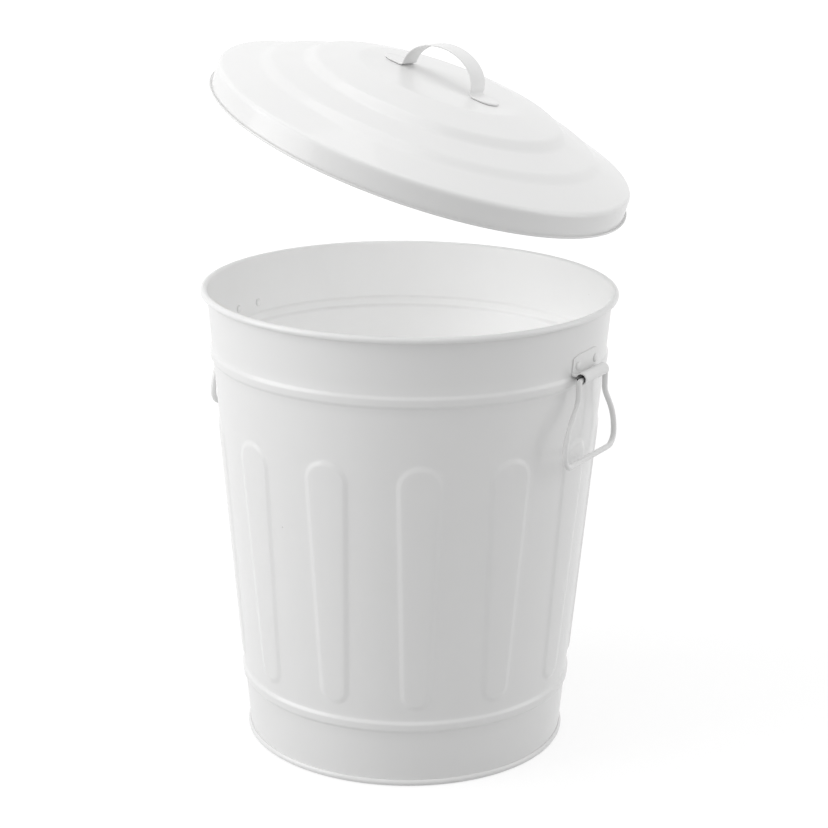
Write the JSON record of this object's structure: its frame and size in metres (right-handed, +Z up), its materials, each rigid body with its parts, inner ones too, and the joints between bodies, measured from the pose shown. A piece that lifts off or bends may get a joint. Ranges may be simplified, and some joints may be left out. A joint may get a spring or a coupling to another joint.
{
  "type": "trash can with lid",
  "caption": "Round tapered steel trash can with pressed flutes and rings, swinging bail handles on riveted brackets, and a loose stepped dome lid with an arched strap handle.",
  "frame": {"origin": "on the floor, under the middle of the can", "axes": "+Z up along the can's axis; the side handles are on +X and -X; the lid is held over the mouth and tips down towards +X"},
  "size_m": [0.4095, 0.4078, 0.6823],
  "materials": {
    "wall_paint": "gloss white",
    "lid_paint": "gloss white",
    "handle_paint": "gloss white",
    "rivet_paint": "gloss white"
  },
  "bodies": {
    "can": {"side_wall": "wall_paint", "bottom_plate": "wall_paint", "handle_bracket_right": "handle_paint", "handle_bracket_left": "handle_paint", "bracket_rivet_right_1": "rivet_paint", "bracket_rivet_right_2": "rivet_paint", "bracket_rivet_left_1": "rivet_paint", "bracket_rivet_left_2": "rivet_paint"},
    "lid": {"lid_shell": "lid_paint", "lid_handle": "lid_paint"},
    "bail_right": {"bail_right": "handle_paint"},
    "bail_left": {"bail_left": "handle_paint"}
  },
  "joints": [
    {"name": "lid_closing", "type": "hinge", "parent": "can", "child": "lid", "pos_m": [0.48214, 0.11043, 0.48495], "axis": [0.2233, -0.9748, 0], "range_deg": [0, 18.3]},
    {"name": "bail_right_swing", "type": "hinge", "parent": "can", "child": "bail_right", "pos_m": [0.19747, 0, 0.3917], "axis": [0, -1, 0], "range_deg": [-6, 150]},
    {"name": "bail_left_swing", "type": "hinge", "parent": "can", "child": "bail_left", "pos_m": [-0.19747, 0, 0.3917], "axis": [0, 1, 0], "range_deg": [-6, 150]}
  ]
}
